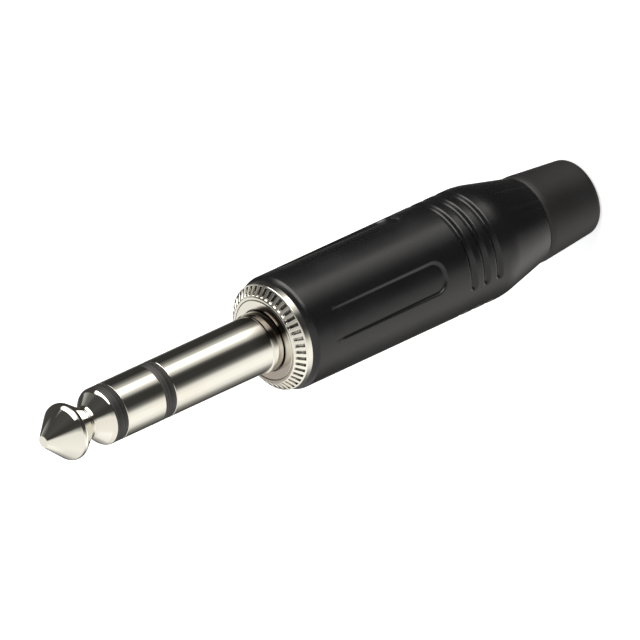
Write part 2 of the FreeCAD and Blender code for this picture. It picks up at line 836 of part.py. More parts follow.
def make_all():
    """Build every piece of the plug, from the tip to the boot."""
    return [
        make_tip_contact(),
        make_ring("tip_band", "ring_stem_bore", "band_radius", "ring_front", "tip_back"),
        make_ring("tip_tube", "tip_tube_bore", "tip_tube_radius", "tip_tube_end", "tip_back"),
        make_ring_contact(),
        make_ring("ring_band", "sleeve_bore", "band_radius", "sleeve_front", "ring_back"),
        make_ring("ring_tube", "ring_tube_bore", "ring_tube_radius", "ring_tube_end", "ring_back"),
        make_sleeve_contact(),
        make_knurled_body(),
        make_terminal(
            "earth_terminal", EARTH_TURN, "spigot_radius + stack_gap", "earth_washer_radius",
            "earth_washer_radius", "earth_leg_width", "earth_thickness", "neck_back",
            "earth_leg_end",
        ),
        make_rear_insulator(),
        make_terminal(
            "ring_terminal", RING_TURN, "ring_stem_radius + stack_gap", "ring_washer_radius",
            "ring_leg_radius", "ring_leg_width", "thin_terminal", "base_back", "ring_leg_end",
        ),
        make_terminal_spacer(),
        make_terminal(
            "tip_terminal", TIP_TURN, "rod_radius + stack_gap", "tip_washer_radius",
            "tip_leg_radius", "tip_leg_width", "thin_terminal", "spacer_back", "tip_leg_end",
        ),
        make_liner(),
        make_cable_clamp(),
        make_shell(),
        make_boot(),
    ]


def check_document(pieces):
    """Stop if any object failed, or any piece is not one valid solid."""
    for item in DOCUMENT.Objects:
        if "Invalid" in item.State or "Error" in item.State:
            raise RuntimeError(f"{item.Label} did not recompute: {item.State}")
    for piece in pieces:
        if piece.Shape.isNull() or not piece.Shape.isValid() or len(piece.Shape.Solids) != 1:
            raise RuntimeError(f"{piece.Label} is not one valid solid")


def export(pieces):
    """Write each piece to its own file, named by its label."""
    os.makedirs("parts", exist_ok=True)
    for piece in pieces:
        piece.Shape.exportStep(f"parts/{piece.Label}.step")
        box = piece.Shape.BoundBox
        print(f"{piece.Label}: {piece.Shape.Volume:.2f} mm3, z {box.ZMin:.2f} to {box.ZMax:.2f}")


fill_sheet()
PIECES = make_all()
DOCUMENT.recompute()
check_document(PIECES)
export(PIECES)
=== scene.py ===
"""Looks of a stereo jack plug, 6.35 mm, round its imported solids.

The plug stands on its boot with its axis along +Z. Sizes are in millimetres and become metres
where a mesh is drawn.
"""

import logging
import math
from dataclasses import dataclass
from enum import Enum
from functools import partial

import bmesh
import bpy
from bpy.types import Material, Node, NodeSocket, NodeTree, Object
from mathutils import Matrix, Vector


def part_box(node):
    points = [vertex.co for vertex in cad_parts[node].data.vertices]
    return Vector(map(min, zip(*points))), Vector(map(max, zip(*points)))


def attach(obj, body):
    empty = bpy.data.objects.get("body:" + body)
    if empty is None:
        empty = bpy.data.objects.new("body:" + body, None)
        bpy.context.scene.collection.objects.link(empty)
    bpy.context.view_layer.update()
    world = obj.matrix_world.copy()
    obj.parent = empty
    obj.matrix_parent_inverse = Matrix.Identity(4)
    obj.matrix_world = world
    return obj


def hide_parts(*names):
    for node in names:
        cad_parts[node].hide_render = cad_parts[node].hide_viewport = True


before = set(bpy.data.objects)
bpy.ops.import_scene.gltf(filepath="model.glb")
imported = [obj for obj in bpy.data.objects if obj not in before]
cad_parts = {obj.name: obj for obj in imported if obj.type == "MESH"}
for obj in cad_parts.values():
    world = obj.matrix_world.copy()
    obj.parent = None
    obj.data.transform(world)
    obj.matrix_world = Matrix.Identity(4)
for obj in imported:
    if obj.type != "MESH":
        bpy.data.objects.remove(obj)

MM = 0.001
LOG = logging.getLogger("jack_plug")
# Two places this near count as one, in metres.
NEAR = 3e-7
# Facets round a turned piece.
ROUND_STEPS = 128
# Edges flatter than this look smooth, in degrees.
SMOOTH_ANGLE = 30.0
# How much large faces count in the shading, where 50 is even.
FACE_WEIGHT = 80
# A noise lies between these two nearly everywhere.
NOISE_LOW, NOISE_HIGH = 0.3, 0.7
# Places in order with the level at each.
Levels = tuple[tuple[float, float], ...]
Size = tuple[float, float, float]
# A node's properties and input values, and what feeds its inputs, by name or number.
Settings = dict[str | int, object] | None
Links = dict[str | int, NodeSocket | Node] | None


class Body(Enum):
    """Bodies of the frame that new pieces ride on."""

    SHELL = "shell_body"
    INSERT = "insert_body"


@dataclass(frozen=True)
class Corner:
    """A corner of a turned outline in mm, rounded by an arc of so many runs."""

    radius: float
    height: float
    rounding: float = 0.0
    steps: int = 4

    @property
    def place(self) -> Vector:
        """Give the corner's place in the plane of the axis, in metres."""
        return Vector((self.radius * MM, 0.0, self.height * MM))


def select_points(piece: Object, *places: Vector) -> None:
    """Select the points of a piece that lie at some places.

    Args:
        piece: the object in edit mode.
        places: the places in metres.
    """
    bpy.ops.mesh.select_all(action="DESELECT")
    mesh = bmesh.from_edit_mesh(piece.data)
    for point in mesh.verts:
        if any((point.co - place).length < NEAR for place in places):
            point.select = True
    mesh.select_flush(True)
    bmesh.update_edit_mesh(piece.data)


def draw_outline(name: str, corners: list[Corner], closed: bool = True) -> Object:
    """Draw an outline in the plane of the axis and stay in edit mode.

    Args:
        name: the object's name.
        corners: the outline's corners in order.
        closed: whether the last corner joins the first.

    Returns:
        The object, whose corners are rounded.
    """
    bpy.ops.object.select_all(action="DESELECT")
    bpy.ops.mesh.primitive_plane_add(size=MM)
    piece = bpy.context.active_object
    piece.name = name
    piece.data.name = name
    bpy.ops.object.mode_set(mode="EDIT")
    bpy.ops.mesh.select_mode(type="VERT")
    bpy.ops.mesh.select_all(action="SELECT")
    bpy.ops.mesh.merge(type="CENTER")
    bpy.ops.transform.translate(value=corners[0].place)
    for before, after in zip(corners, corners[1:]):
        step = after.place - before.place
        bpy.ops.mesh.extrude_region_move(TRANSFORM_OT_translate={"value": step})
    if closed:
        select_points(piece, corners[0].place, corners[-1].place)
        bpy.ops.mesh.edge_face_add()
    for index, corner in enumerate(corners):
        if corner.rounding:
            back = corners[index - 1].place - corner.place
            onward = corners[(index + 1) % len(corners)].place - corner.place
            reach = corner.rounding * MM / math.tan(back.angle(onward) / 2)
            select_points(piece, corner.place)
            bpy.ops.mesh.bevel(
                offset=reach, offset_type="OFFSET", segments=corner.steps, affect="VERTICES",
                profile=0.5, clamp_overlap=False,
            )
    return piece


def apply_modifier(piece: Object, kind: str, settings: dict[str, object]) -> None:
    """Add a modifier with its settings to a piece and apply it.

    Args:
        piece: the object in object mode.
        kind: the modifier's type.
        settings: its properties by name.
    """
    bpy.context.view_layer.objects.active = piece
    modifier = piece.modifiers.new(kind.lower(), kind)
    for key, value in settings.items():
        setattr(modifier, key, value)
    bpy.ops.object.modifier_apply(modifier=modifier.name)


def smooth_faces(piece: Object) -> None:
    """Shade a piece smooth, with large faces kept as flat as they are beside small roundings."""
    bpy.ops.object.shade_smooth_by_angle(angle=math.radians(SMOOTH_ANGLE))
    apply_modifier(piece, "WEIGHTED_NORMAL", {"keep_sharp": True, "weight": FACE_WEIGHT})


def close_mesh() -> None:
    """Merge doubles in the mesh in edit mode, turn its faces outwards and leave edit mode."""
    bpy.ops.mesh.select_mode(type="VERT")
    bpy.ops.mesh.select_all(action="SELECT")
    bpy.ops.mesh.remove_doubles(threshold=NEAR)
    bpy.ops.mesh.normals_make_consistent(inside=False)
    bpy.ops.object.mode_set(mode="OBJECT")


def spin_outline(piece: Object, steps: int) -> None:
    """Spin an outline about the plug's axis and leave edit mode.

    Args:
        piece: the outline in edit mode.
        steps: how many facets go round.
    """
    bpy.ops.mesh.select_all(action="SELECT")
    bpy.ops.mesh.spin(
        steps=steps, angle=math.tau, center=(0, 0, 0), axis=(0, 0, 1), use_auto_merge=True
    )
    close_mesh()
    smooth_faces(piece)


def turn_piece(name: str, corners: list[Corner], closed: bool = True) -> Object:
    """Turn a piece from its outline.

    Args:
        name: the object's name.
        corners: the outline's corners in order.
        closed: False where both ends lie on the axis.

    Returns:
        The turned object, in object mode.
    """
    piece = draw_outline(name, corners, closed)
    spin_outline(piece, ROUND_STEPS)
    return piece


def linear_colour(code: str) -> tuple[float, float, float, float]:
    """Turn an sRGB colour into linear light by the standard's formula.

    Args:
        code: the colour in hex, such as #a0b1c2.

    Returns:
        Linear red, green and blue, and full alpha.
    """
    parts = [int(code[start:start + 2], 16) / 255 for start in (1, 3, 5)]
    red, green, blue = (
        part / 12.92 if part <= 0.04045 else ((part + 0.055) / 1.055) ** 2.4 for part in parts
    )
    return (red, green, blue, 1.0)


def ramp_stops(levels: Levels, low: float, high: float) -> Levels:
    """Turn the places of levels between two ends into a ramp's places from 0 to 1."""
    return tuple(((place - low) / (high - low), level) for place, level in levels)


def set_node(tree: NodeTree, node: Node, settings: Settings = None, links: Links = None) -> None:
    """Set up a node and link its inputs.

    Args:
        tree: the material's or world's tree.
        node: the node.
        settings: its properties, then its input values. A ramp's stops are its levels.
        links: sockets, or nodes whose first output in use is meant.
    """
    for key, value in (settings or {}).items():
        if key == "stops":
            elements = node.color_ramp.elements
            while len(elements) < len(value):
                elements.new(1.0)
            for element, (place, level) in zip(elements, value):
                element.position = place
                element.color = (level, level, level, 1.0)
        elif isinstance(key, str) and hasattr(node, key):
            setattr(node, key, value)
        else:
            node.inputs[key].default_value = value
    for key, source in (links or {}).items():
        if isinstance(source, Node):
            source = next(socket for socket in source.outputs if socket.enabled)
        tree.links.new(source, node.inputs[key])


def add_node(tree: NodeTree, kind: str, settings: Settings = None, links: Links = None) -> Node:
    """Add a node of a kind, with its settings and links as set_node takes them."""
    node = tree.nodes.new(kind)
    set_node(tree, node, settings, links)
    return node


def new_material(name: str) -> tuple[Material, NodeTree, Node]:
    """Start a node material.

    Args:
        name: the material's name.

    Returns:
        The material, its tree and its shader.
    """
    material = bpy.data.materials.new(name)
    material.use_nodes = True
    tree = material.node_tree
    return material, tree, tree.nodes["Principled BSDF"]


@dataclass(frozen=True)
class Patch:
    """A patch of painted shade on one side of a turning."""

    colour: str
    # Direction across the axis in which the patch lies.
    side: tuple[float, float, float]
    # How far out on that side it begins and is whole, in mm.
    reach: tuple[float, float]
    # Height over the flange's face in mm with the patch's strength there.
    levels: Levels

    def cover(
        self, tree: NodeTree, place: NodeSocket, under: Node, face_height: float
    ) -> Node:
        """Lay the patch over a colour.

        Args:
            tree: the material's tree.
            place: the object's coordinates.
            under: the node that gives the colour.
            face_height: height of the flange's face in mm.

        Returns:
            The node that gives the colour with the patch on it.
        """
        low, high = self.levels[0][0] - 1, self.levels[-1][0] + 1
        parts = add_node(tree, "ShaderNodeSeparateXYZ", links={"Vector": place})
        height = add_node(tree, "ShaderNodeMapRange", {
            "From Min": (face_height + low) * MM, "From Max": (face_height + high) * MM,
        }, {"Value": parts.outputs["Z"]})
        along = add_node(tree, "ShaderNodeValToRGB",
                         {"stops": ramp_stops(self.levels, low, high)}, {"Fac": height})
        toward = add_node(tree, "ShaderNodeVectorMath",
                          {"operation": "DOT_PRODUCT", 1: self.side}, {0: place})
        across = add_node(tree, "ShaderNodeMapRange", {
            "interpolation_type": "SMOOTHSTEP",
            "From Min": self.reach[0] * MM, "From Max": self.reach[1] * MM,
        }, {"Value": toward})
        strength = add_node(tree, "ShaderNodeMath", {"operation": "MULTIPLY"},
                            {0: along, 1: across})
        return add_node(tree, "ShaderNodeMix",
                        {"data_type": "RGBA", "B": linear_colour(self.colour)},
                        {"A": under, "Factor": strength})


# Painted shade: the plate is greyed on one side of the flange's face, and a little on the collar.
PAINTED_SHADE_ON_FACE = Patch("#9a9088", (-0.78, 0.62, 0.0), (0.8, 3.4), (
    (-0.05, 0.0), (-0.02, 0.9), (0.03, 0.9), (0.08, 0.3), (1.3, 0.3), (1.4, 0.0),
))
# Painted shade: the collar is browned on another side, and the barrel a little way past it, which
# dims its reflection there.
PAINTED_SHADE_ON_COLLAR = Patch("#54483e", (0.03, -1.0, 0.0), (1.7, 2.9), (
    (0.02, 0.0), (0.06, 0.92), (1.4, 0.9), (1.7, 0.6), (4.0, 0.0),
))


@dataclass(frozen=True)
class Finish:
    """A surface with a fine relief, whose colour and roughness vary a little in clouds.

    Sizes and depths are in mm. What is too fine to show is drawn as coarse as it needs to show.
    """

    name: str
    colour: str
    light: str
    # Roughness at both ends of the clouds.
    roughness: tuple[float, float]
    # Sizes along X, Y and Z.
    relief_size: Size
    relief_depth: float
    relief_detail: float = 2.0
    relief_strength: float = 0.8
    cloud_size: Size = (7.143, 7.143, 7.143)
    cloud_detail: float = 4.0
    # Share of the light colour over the clouds.
    light_levels: Levels = ((0.35, 0.0), (0.7, 1.0))
    metallic: float = 0.0
    specular: float = 0.5

    def wear_and_painted_light(self, tree: NodeTree, place: NodeSocket, tone: Node) -> Node:
        """Lay wear and painted light over the colour. A plain surface has neither.

        Args:
            tree: the material's tree.
            place: the object's coordinates.
            tone: the node that gives the colour.

        Returns:
            The node that gives the colour with them.
        """
        return tone

    def make(self) -> Material:
        """Build the material.

        Returns:
            The material, drawn on Object coordinates.
        """
        material, tree, shader = new_material(self.name)
        place = add_node(tree, "ShaderNodeTexCoord").outputs["Object"]
        relief, clouds = (
            add_node(tree, "ShaderNodeTexNoise", {"Scale": 1.0, "Detail": detail}, {
                "Vector": add_node(tree, "ShaderNodeMapping",
                                   {"Scale": [1 / (part * MM) for part in size]},
                                   {"Vector": place}),
            })
            for size, detail in ((self.relief_size, self.relief_detail),
                                 (self.cloud_size, self.cloud_detail))
        )
        share = add_node(tree, "ShaderNodeValToRGB", {"stops": self.light_levels},
                         {"Fac": clouds})
        tone = add_node(tree, "ShaderNodeMix", {
            "data_type": "RGBA", "A": linear_colour(self.colour), "B": linear_colour(self.light),
        }, {"Factor": share})
        finish = add_node(tree, "ShaderNodeMapRange", {
            "From Min": NOISE_LOW, "From Max": NOISE_HIGH,
            "To Min": self.roughness[0], "To Max": self.roughness[1],
        }, {"Value": clouds})
        bump = add_node(tree, "ShaderNodeBump",
                        {"Strength": self.relief_strength, "Distance": self.relief_depth * MM},
                        {"Height": relief})
        set_node(tree, shader, {"Metallic": self.metallic, "Specular IOR Level": self.specular}, {
            "Base Color": self.wear_and_painted_light(tree, place, tone), "Roughness": finish, "Normal": bump,
        })
        return material


@dataclass(frozen=True)
class PlatedMetal(Finish):
    """Nickel plate on turned brass: a bright mirror with fine turning lines round the axis.

    The lines are about 0.05 mm apart on the real one and are drawn 0.12 mm apart.
    """

    name: str = "nickel_plate"
    colour: str = "#e7e5dd"
    light: str = "#dccfba"
    roughness: tuple[float, float] = (0.035, 0.075)
    relief_size: Size = (16.667, 16.667, 0.12)
    relief_depth: float = 0.0003
    relief_strength: float = 0.6
    cloud_size: Size = (3.846, 3.846, 3.846)
    cloud_detail: float = 3.0
    light_levels: Levels = ((0.45, 0.0), (0.8, 0.25))
    metallic: float = 1.0
    # Colour of the painted shade in corners and recesses, and how far it looks for shelter, in mm.
    recess_shade: str = "#2b2724"
    recess_shade_reach: float = 0.4
    # Share of the plate's own colour over how open a place is, from 0 in a corner, where the
    # painted shade lies.
    unshaded_levels: Levels = ((0.42, 0.0), (0.8, 1.0))
    face_height: float = 44.35

    def wear_and_painted_light(self, tree: NodeTree, place: NodeSocket, tone: Node) -> Node:
        """Lay the plate's patches of painted shade, and painted shade in its corners and recesses,
        over the colour, as in Finish.
        """
        for patch in (PAINTED_SHADE_ON_FACE, PAINTED_SHADE_ON_COLLAR):
            tone = patch.cover(tree, place, tone, self.face_height)
        # Painted shade: corners and recesses are darkened by how shut in they are.
        occlusion = add_node(tree, "ShaderNodeAmbientOcclusion",
                           {"samples": 8, "Distance": self.recess_shade_reach * MM})
        unshaded = add_node(tree, "ShaderNodeValToRGB", {"stops": self.unshaded_levels},
                         {"Fac": occlusion.outputs["AO"]})
        return add_node(tree, "ShaderNodeMix",
                        {"data_type": "RGBA", "A": linear_colour(self.recess_shade)},
                        {"B": tone, "Factor": unshaded})


@dataclass(frozen=True)
class TurnedPlastic(Finish):
    """Moulded engineering plastic, turned flush: dull, with fine lines round the axis.

    The lines are drawn 0.14 mm apart, coarser than the tool's. Its clouds are the same lines.
    """

    roughness: tuple[float, float] = (0.5, 0.5)
    relief_size: Size = (11.111, 11.111, 0.14)
    relief_depth: float = 0.02
    relief_detail: float = 3.0
    relief_strength: float = 0.7
    cloud_size: Size = (11.111, 11.111, 0.14)
    cloud_detail: float = 3.0
    light_levels: Levels = ((0.42, 0.0), (0.72, 1.0))


@dataclass(frozen=True)
class GrainedCoat(Finish):
    """A dark matt surface with a fine grain, such as painted die casting or moulded rubber.

    The grain has the real one's size, one to two tenths of a millimetre.
    """

    # Lighter colour on outer edges, partly worn paint and partly painted highlight, and the
    # pointiness over flat where it is whole.
    edge: str = "#2a2828"
    edge_width: float = 0.04

    def wear_and_painted_light(self, tree: NodeTree, place: NodeSocket, tone: Node) -> Node:
        """Lay the lighter edges over the colour, as in Finish: partly worn paint, partly a painted
        highlight on the roundings.
        """
        # The geometry's pointiness is 0.5 on a flat and more on an outer edge.
        geometry = add_node(tree, "ShaderNodeNewGeometry")
        edges = add_node(tree, "ShaderNodeValToRGB", {
            "stops": ((0.5 + self.edge_width / 4, 0.0), (0.5 + self.edge_width, 1.0)),
        }, {"Fac": geometry.outputs["Pointiness"]})
        return add_node(tree, "ShaderNodeMix",
                        {"data_type": "RGBA", "B": linear_colour(self.edge)},
                        {"A": tone, "Factor": edges})


class Finishes:
    """The materials of the plug, each named for what the real piece is made of."""

    def __init__(self) -> None:
        """Make every material once."""
        # Nickel plate on turned brass: a bright, slightly warm mirror with lines round the axis.
        self.nickel = PlatedMetal().make()
        # The same plate where the teeth are cut: the cutter leaves it less even.
        self.cut_nickel = PlatedMetal("nickel_plate_on_teeth", roughness=(0.091, 0.195)).make()
        # Tinned brass, stamped: greyer and duller than the plate.
        self.tinned = PlatedMetal("tinned_brass", "#cfccc4", "#b9a98a", (0.196, 0.42),
                                  relief_depth=0.004).make()
        # Polyamide filled with glass: near black and dull, greyer where the tool has been.
        self.insulator = TurnedPlastic("black_filled_polyamide", "#1b1a1a", "#454240").make()
        # Polyamide without colour: creamy, with a soft sheen.
        self.base = TurnedPlastic("natural_polyamide", "#d9d2bf", "#e6e0d0", (0.45, 0.45),
                                  relief_depth=0.004).make()
        # Polyester tube: off-white, and smoother than the base.
        self.liner = TurnedPlastic("liner_polyester", "#c9c7bf", "#dcdad2", (0.3, 0.3),
                                   relief_depth=0.002).make()
        # Moulded polyacetal: dark grey with a waxy sheen.
        self.clamp = GrainedCoat("clamp_polyacetal", "#26282b", "#303337", (0.38, 0.47),
                                 (0.2, 0.2, 0.2), 0.006, edge="#3a3d41").make()
        # Black paint on a zinc casting: satin, with a fine grain that breaks up the highlight.
        self.casting = GrainedCoat("black_painted_zinc_casting", "#141416", "#1b1b1d",
                                   (0.18, 0.27), (0.16, 0.16, 0.16), 0.014, specular=0.4,
                                   edge="#28282a").make()
        # Moulded rubber: duller than the paint and a little warmer and lighter.
        self.rubber = GrainedCoat("black_moulded_rubber", "#1c1b1c", "#232223", (0.46, 0.55),
                                  (0.12, 0.12, 0.12), 0.012, specular=0.34).make()


def dress(piece: Object, material: Material) -> None:
    """Give a whole piece one material.

    Args:
        piece: the object.
        material: its finish.
    """
    piece.data.materials.clear()
    piece.data.materials.append(material)
    for face in piece.data.polygons:
        face.material_index = 0


def place_piece(
    piece: Object, body: Body, node: str | None, material: Material
) -> None:
    """Dress a new piece, set it on its body and hide the solid that it replaces.

    Args:
        piece: the finished object.
        body: the body it rides on.
        node: the solid that it replaces, or None.
        material: its finish.
    """
    dress(piece, material)
    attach(piece, body.value)
    if node:
        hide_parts(node)
    LOG.info("%s rides on %s", piece.name, body.value)


def ends_of(node: str) -> tuple[float, float]:
    """Give the lowest and highest height of a solid in mm."""
    low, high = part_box(node)
    return low.z / MM, high.z / MM


@dataclass(frozen=True)
class Disc:
    """The sleeve's flange disc, which the toothed ring goes round."""

    radius: float = 4.47
    thickness: float = 1.0
    bevel: float = 0.08


@dataclass
class Stem:
    """Tip, ring and sleeve contacts with the bands between them."""

    disc: Disc = Disc()
    shaft_radius: float = 3.175
    edge_rounding: float = 0.07
    band_relief: float = 0.015
    band_bore: float = 2.0
    band_rounding: float = 0.04
    tip_flat_radius: float = 0.66
    tip_flat_rounding: float = 0.12
    crown_radius: float = 3.42
    crown_height: float = 4.55
    crown_rounding: float = 0.95
    waist_radius: float = 1.66
    waist_height: float = 2.12
    waist_land: float = 0.42
    waist_rounding: float = 0.54
    shoulder_taper: float = 0.16
    shoulder_land: float = 0.35
    shoulder_rounding: float = 1.3
    collar_radius: float = 3.33
    collar_length: float = 1.3
    collar_bevel: float = 0.12
    collar_rounding: float = 0.03
    collar_foot_rounding: float = 0.04
    undercut_width: float = 0.14
    undercut_depth: float = 0.15
    spigot_radius: float = 2.9
    tube_gap: float = 0.02
    lip_radius: float = 3.35
    lip_height: float = 0.3
    lip_rounding: float = 0.1
    ring_bore: float = 1.37
    ring_tube_radius: float = 1.85
    flare_radius: float = 2.2
    flare_height: float = 0.3
    flare_rounding: float = 0.12
    flare_mouth_rounding: float = 0.08
    rod_radius: float = 0.9
    rivet_radius: float = 1.45
    rivet_height: float = 0.6
    rivet_end_rounding: float = 0.2
    rivet_rounding: float = 0.1

    def build_tip(self) -> Object:
        """Turn the tip with its rod, whose end is riveted over.

        Returns:
            The tip contact.
        """
        back = ends_of("tip_band")[1]
        rivet_end, end = ends_of("tip_contact")
        rivet_top = rivet_end + self.rivet_height
        waist_front = back + self.waist_height
        return turn_piece("tip_turning", [
            Corner(0, rivet_end),
            Corner(self.rivet_radius - self.rivet_height, rivet_end, self.rivet_end_rounding),
            Corner(self.rivet_radius, rivet_top, self.rivet_rounding),
            Corner(self.rod_radius, rivet_top),
            Corner(self.rod_radius, back),
            Corner(self.shaft_radius, back, self.edge_rounding),
            Corner(self.shaft_radius - self.shoulder_taper, back + self.shoulder_land,
                   self.shoulder_rounding, steps=14),
            Corner(self.waist_radius, waist_front - self.waist_land, self.waist_rounding,
                   steps=10),
            Corner(self.waist_radius, waist_front, self.waist_rounding, steps=10),
            Corner(self.crown_radius, back + self.crown_height, self.crown_rounding, steps=14),
            Corner(self.tip_flat_radius, end, self.tip_flat_rounding),
            Corner(0, end),
        ], closed=False)

    def build_band(self, name: str, node: str) -> Object:
        """Turn one insulating band, a little under flush.

        Args:
            name: the piece's name.
            node: the solid that it follows.

        Returns:
            The band.
        """
        back, front = ends_of(node)
        radius = self.shaft_radius - self.band_relief
        return turn_piece(name, [
            Corner(self.band_bore, back),
            Corner(radius, back, self.band_rounding, steps=2),
            Corner(radius, front, self.band_rounding, steps=2),
            Corner(self.band_bore, front),
        ])

    def build_ring(self) -> Object:
        """Turn the ring contact with its tube, whose end is flared.

        Returns:
            The ring contact.
        """
        flare_end, front = ends_of("ring_contact")
        back = ends_of("ring_band")[1]
        flare_top = flare_end + self.flare_height
        return turn_piece("ring_turning", [
            Corner(self.ring_bore, flare_end, self.flare_mouth_rounding, steps=3),
            Corner(self.flare_radius, flare_end, self.flare_rounding, steps=3),
            Corner(self.flare_radius, flare_top),
            Corner(self.ring_tube_radius, flare_top),
            Corner(self.ring_tube_radius, back),
            Corner(self.shaft_radius, back, self.edge_rounding, steps=3),
            Corner(self.shaft_radius, front, self.edge_rounding, steps=3),
            Corner(self.ring_bore, front),
        ])

    def build_sleeve(self) -> Object:
        """Turn the sleeve with its collar, flange disc and rolled spigot.

        Returns:
            The sleeve contact.
        """
        end, front = ends_of("sleeve_contact")
        face = ends_of("knurled_body")[1]
        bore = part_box("ring_tube")[1].x / MM + self.tube_gap
        disc_back = face - self.disc.thickness
        groove = self.collar_radius + self.undercut_width
        collar_top = face + self.collar_length
        return turn_piece("sleeve_turning", [
            Corner(bore, end),
            Corner(self.lip_radius, end, self.lip_rounding),
            Corner(self.lip_radius, end + self.lip_height),
            Corner(self.spigot_radius, end + self.lip_height),
            Corner(self.spigot_radius, disc_back),
            Corner(self.disc.radius, disc_back),
            Corner(self.disc.radius, face - self.disc.bevel),
            Corner(self.disc.radius - self.disc.bevel, face),
            Corner(groove, face, self.collar_rounding, steps=2),
            Corner(groove, face - self.undercut_depth),
            Corner(self.collar_radius, face - self.undercut_depth),
            Corner(self.collar_radius, collar_top, self.collar_rounding, steps=2),
            Corner(self.shaft_radius, collar_top + self.collar_bevel, self.collar_foot_rounding,
                   steps=3),
            Corner(self.shaft_radius, front, self.edge_rounding, steps=3),
            Corner(bore, front),
        ])

    def dress(self, finishes: Finishes) -> None:
        """Build the stem's pieces and give them their finishes.

        Args:
            finishes: the plug's materials.
        """
        place_piece(self.build_tip(), Body.INSERT, "tip_contact", finishes.nickel)
        place_piece(self.build_ring(), Body.INSERT, "ring_contact", finishes.nickel)
        for name, node in (("front_band", "tip_band"), ("rear_band", "ring_band")):
            place_piece(self.build_band(name, node), Body.INSERT, node,
                        finishes.insulator)
        place_piece(self.build_sleeve(), Body.INSERT, "sleeve_contact",
                    finishes.nickel)


